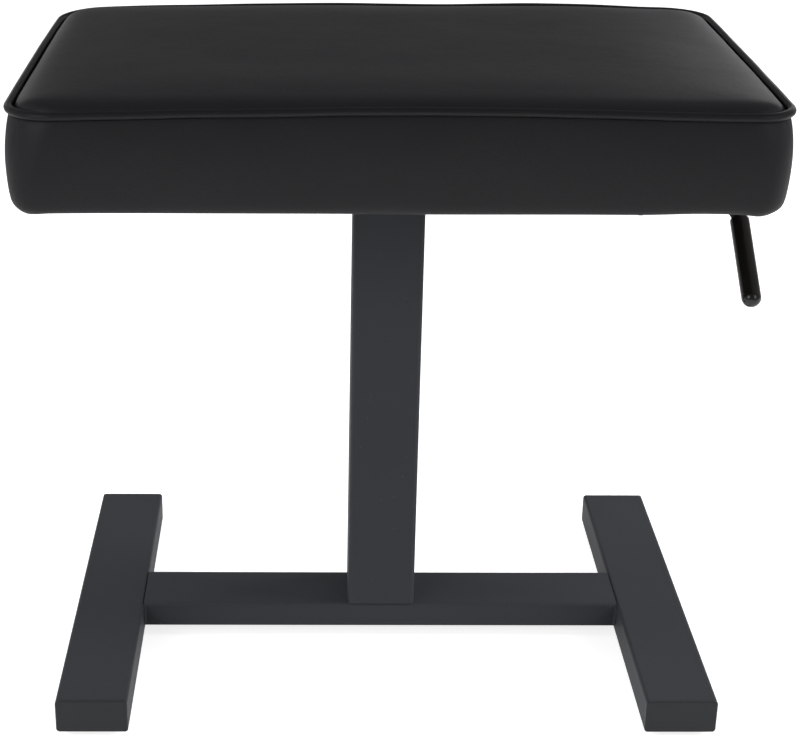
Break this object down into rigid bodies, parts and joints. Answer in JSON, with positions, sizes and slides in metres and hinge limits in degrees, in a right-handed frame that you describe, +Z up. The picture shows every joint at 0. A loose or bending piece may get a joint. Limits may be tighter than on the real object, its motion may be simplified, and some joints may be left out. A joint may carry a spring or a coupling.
{
  "type": "keyboard bench",
  "caption": "Height-adjustable keyboard bench: padded piped seat on a square telescopic column with an H-shaped tube base and a pull-up release handle under the seat.",
  "frame": {"origin": "on the floor, under the centre of the column", "axes": "+Z up, -Y to the front, +X to the release handle's side, along the seat's long side"},
  "size_m": [0.4868, 0.316, 0.4551],
  "materials": {
    "frame_coat": "satin",
    "cap_plastic": "satin",
    "pad_rubber": "matte",
    "guide_nylon": "satin",
    "inner_tube_coat": "satin",
    "spring_barrel": "gloss",
    "bright_steel": "satin",
    "seal_plastic": "satin",
    "rod_coat": "satin",
    "grip_vinyl": "gloss",
    "plywood": "matte",
    "foam": "matte",
    "seat_vinyl": "satin",
    "piping_vinyl": "satin",
    "dust_cloth": "matte"
  },
  "bodies": {
    "base": {"left_foot": "frame_coat", "right_foot": "frame_coat", "foot_cap_front_left": "cap_plastic", "foot_cap_rear_left": "cap_plastic", "foot_cap_front_right": "cap_plastic", "foot_cap_rear_right": "cap_plastic", "foot_pad_front_left": "pad_rubber", "foot_pad_rear_left": "pad_rubber", "foot_pad_front_right": "pad_rubber", "foot_pad_rear_right": "pad_rubber", "cross_beam": "frame_coat", "column": "frame_coat", "column_collar": "guide_nylon", "gas_spring_cylinder": "spring_barrel", "gas_spring_guide": "seal_plastic", "gas_spring_nut": "bright_steel", "gas_spring_washer": "bright_steel"},
    "seat": {"inner_column_glide": "guide_nylon", "lever_inner_bushes": "guide_nylon", "lever_outer_bush": "guide_nylon", "inner_column": "inner_tube_coat", "seat_plate": "inner_tube_coat", "lever_inner_bracket": "inner_tube_coat", "lever_outer_bracket": "inner_tube_coat", "rod_plate": "inner_tube_coat", "gas_spring_rod": "bright_steel", "gas_spring_piston": "bright_steel", "release_head": "bright_steel", "release_pivot_pin": "bright_steel", "seat_screws": "bright_steel", "seat_washers": "bright_steel", "tee_nuts": "bright_steel", "bracket_screws": "bright_steel", "seat_board": "plywood", "seat_foam": "foam", "seat_top_panel": "seat_vinyl", "seat_side_band": "seat_vinyl", "seat_piping": "piping_vinyl", "dust_cover": "dust_cloth"},
    "release_handle": {"lever_rod": "rod_coat", "lever_grip": "grip_vinyl", "crank_arm": "bright_steel", "arm_roll_pin": "bright_steel", "lever_clip": "bright_steel"},
    "release_finger": {"release_lever": "bright_steel"},
    "valve": {"valve_pin": "bright_steel"}
  },
  "joints": [
    {"name": "seat_height", "type": "slide", "parent": "base", "child": "seat", "axis": [0, 0, 1], "range_m": [0, 0.12]},
    {"name": "handle_pull", "type": "hinge", "parent": "seat", "child": "release_handle", "pos_m": [0, -0.042, 0.3555], "axis": [-1, 0, 0], "range_deg": [0, 22], "stiffness_Nm_per_rad": 4, "springref_deg": -8.59},
    {"name": "finger_tilt", "type": "hinge", "parent": "seat", "child": "release_finger", "pos_m": [0, 0.013, 0.36002], "axis": [1, 0, 0], "range_deg": [0, 13.43]},
    {"name": "valve_press", "type": "slide", "parent": "seat", "child": "valve", "axis": [0, 0, -1], "range_m": [0, 0.00346]}
  ],
  "couplings": [
    {"joint": "finger_tilt", "follows": "handle_pull", "ratio": 0.61},
    {"joint": "valve_press", "follows": "handle_pull", "m_per_rad": 0.009}
  ]
}
